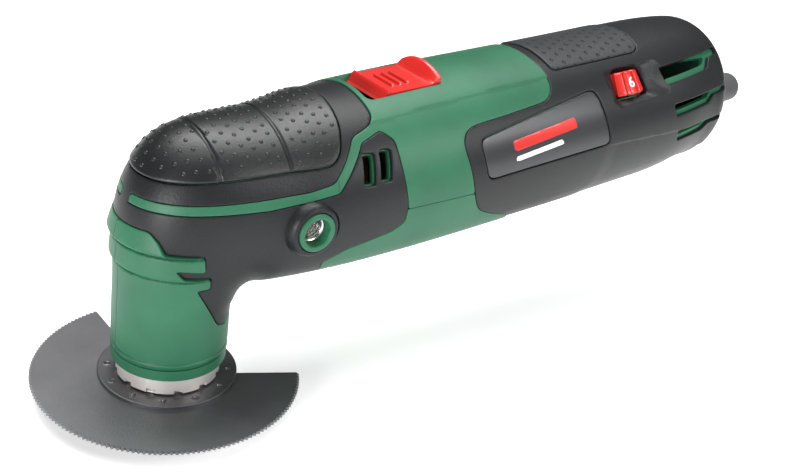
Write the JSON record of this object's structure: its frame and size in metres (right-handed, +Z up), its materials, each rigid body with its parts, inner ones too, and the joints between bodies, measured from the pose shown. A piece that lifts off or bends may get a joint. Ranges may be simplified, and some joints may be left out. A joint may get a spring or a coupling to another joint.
{
  "type": "oscillating multi tool",
  "caption": "Handheld oscillating multi tool with an angled head, a segment saw blade, a slide switch and a speed wheel.",
  "frame": {"origin": "on the spindle axis at mid thickness of the saw blade", "axes": "+X towards the cord end, -Y to the side that has the speed wheel, +Z up along the spindle into the head"},
  "size_m": [0.3045, 0.0844, 0.1103],
  "materials": {
    "green_plastic": "fine-grained satin",
    "black_plastic": "fine-grained satin",
    "soft_grip": "satin, dotted",
    "red_plastic": "satin",
    "label_plastic": "smooth satin",
    "blade_steel": "dark satin coating",
    "bright_steel": "turned",
    "bearing_steel": "ground",
    "motor_iron": "laminated",
    "copper": "enamelled wire",
    "brass": "pressed",
    "carbon": "matte",
    "aluminium": "cast",
    "grey_plastic": "moulded",
    "pale_plastic": "moulded",
    "rubber_black": "satin",
    "circuit": "moulded"
  },
  "bodies": {
    "casing": {"neck_housing_left": "green_plastic", "neck_housing_right": "green_plastic", "upper_housing": "green_plastic", "lower_housing": "green_plastic", "neck_ring": "green_plastic", "neck_ring_gasket": "black_plastic", "head_overmold": "black_plastic", "rear_cover": "black_plastic", "head_grip_pad": "soft_grip", "rear_grip_pad": "soft_grip", "label_plate_left": "label_plastic", "label_plate_right": "label_plastic", "thread_insert_left": "bright_steel", "thread_insert_right": "bright_steel", "housing_screws": "bright_steel", "neck_screws": "bright_steel", "spindle_sleeve": "aluminium", "lower_spindle_bearing": "bearing_steel", "upper_spindle_bearing": "bearing_steel", "spindle_seal": "rubber_black", "top_bearing": "bearing_steel", "top_bearing_seat": "aluminium", "motor_front_bearing": "bearing_steel", "motor_rear_bearing": "bearing_steel", "front_bearing_bracket": "aluminium", "air_baffle": "black_plastic", "brush_plate": "black_plastic", "rear_bearing_bracket": "black_plastic", "stator_mounts": "black_plastic", "stator_core": "motor_iron", "stator_coils": "copper", "brush_holders": "brass", "carbon_brushes": "carbon", "brush_springs": "bearing_steel", "power_switch_module": "black_plastic", "speed_control_module": "circuit", "cord_sleeve": "rubber_black", "cord_clamp_base": "black_plastic", "cord_clamp": "black_plastic", "cord_clamp_screws": "bright_steel", "terminal_block": "pale_plastic", "suppression_capacitor": "pale_plastic"},
    "spindle_group": {"spindle": "bright_steel", "spindle_circlip": "bearing_steel", "tool_holder": "bright_steel", "drive_fork": "bearing_steel", "saw_blade": "blade_steel", "blade_hub": "blade_steel", "clamp_washer": "bright_steel", "clamp_screw": "bright_steel"},
    "armature_group": {"armature_shaft": "bearing_steel", "eccentric": "bearing_steel", "eccentric_bearing": "bearing_steel", "armature_core": "motor_iron", "armature_windings": "copper", "commutator": "copper", "cooling_fan": "grey_plastic"},
    "switch_slide": {"switch_button": "red_plastic", "switch_rod": "grey_plastic"},
    "speed_dial": {"speed_wheel": "red_plastic"}
  },
  "joints": [
    {"name": "spindle_oscillation", "type": "hinge", "parent": "casing", "child": "spindle_group", "pos_m": [0, 0, 0], "axis": [0, 0, 1], "range_deg": [-1.4, 1.4]},
    {"name": "armature_spin", "type": "hinge", "parent": "casing", "child": "armature_group", "pos_m": [0, 0, 0.0569], "axis": [0.9966, 0, 0.0819], "continuous": true},
    {"name": "power_switch", "type": "slide", "parent": "casing", "child": "switch_slide", "axis": [-0.9966, 0, -0.0819], "range_m": [0, 0.005]},
    {"name": "speed_setting", "type": "hinge", "parent": "casing", "child": "speed_dial", "pos_m": [0.1668, -0.0137, 0.0863], "axis": [-0.0735, 0.4215, 0.9039], "range_deg": [-225, 0]}
  ]
}
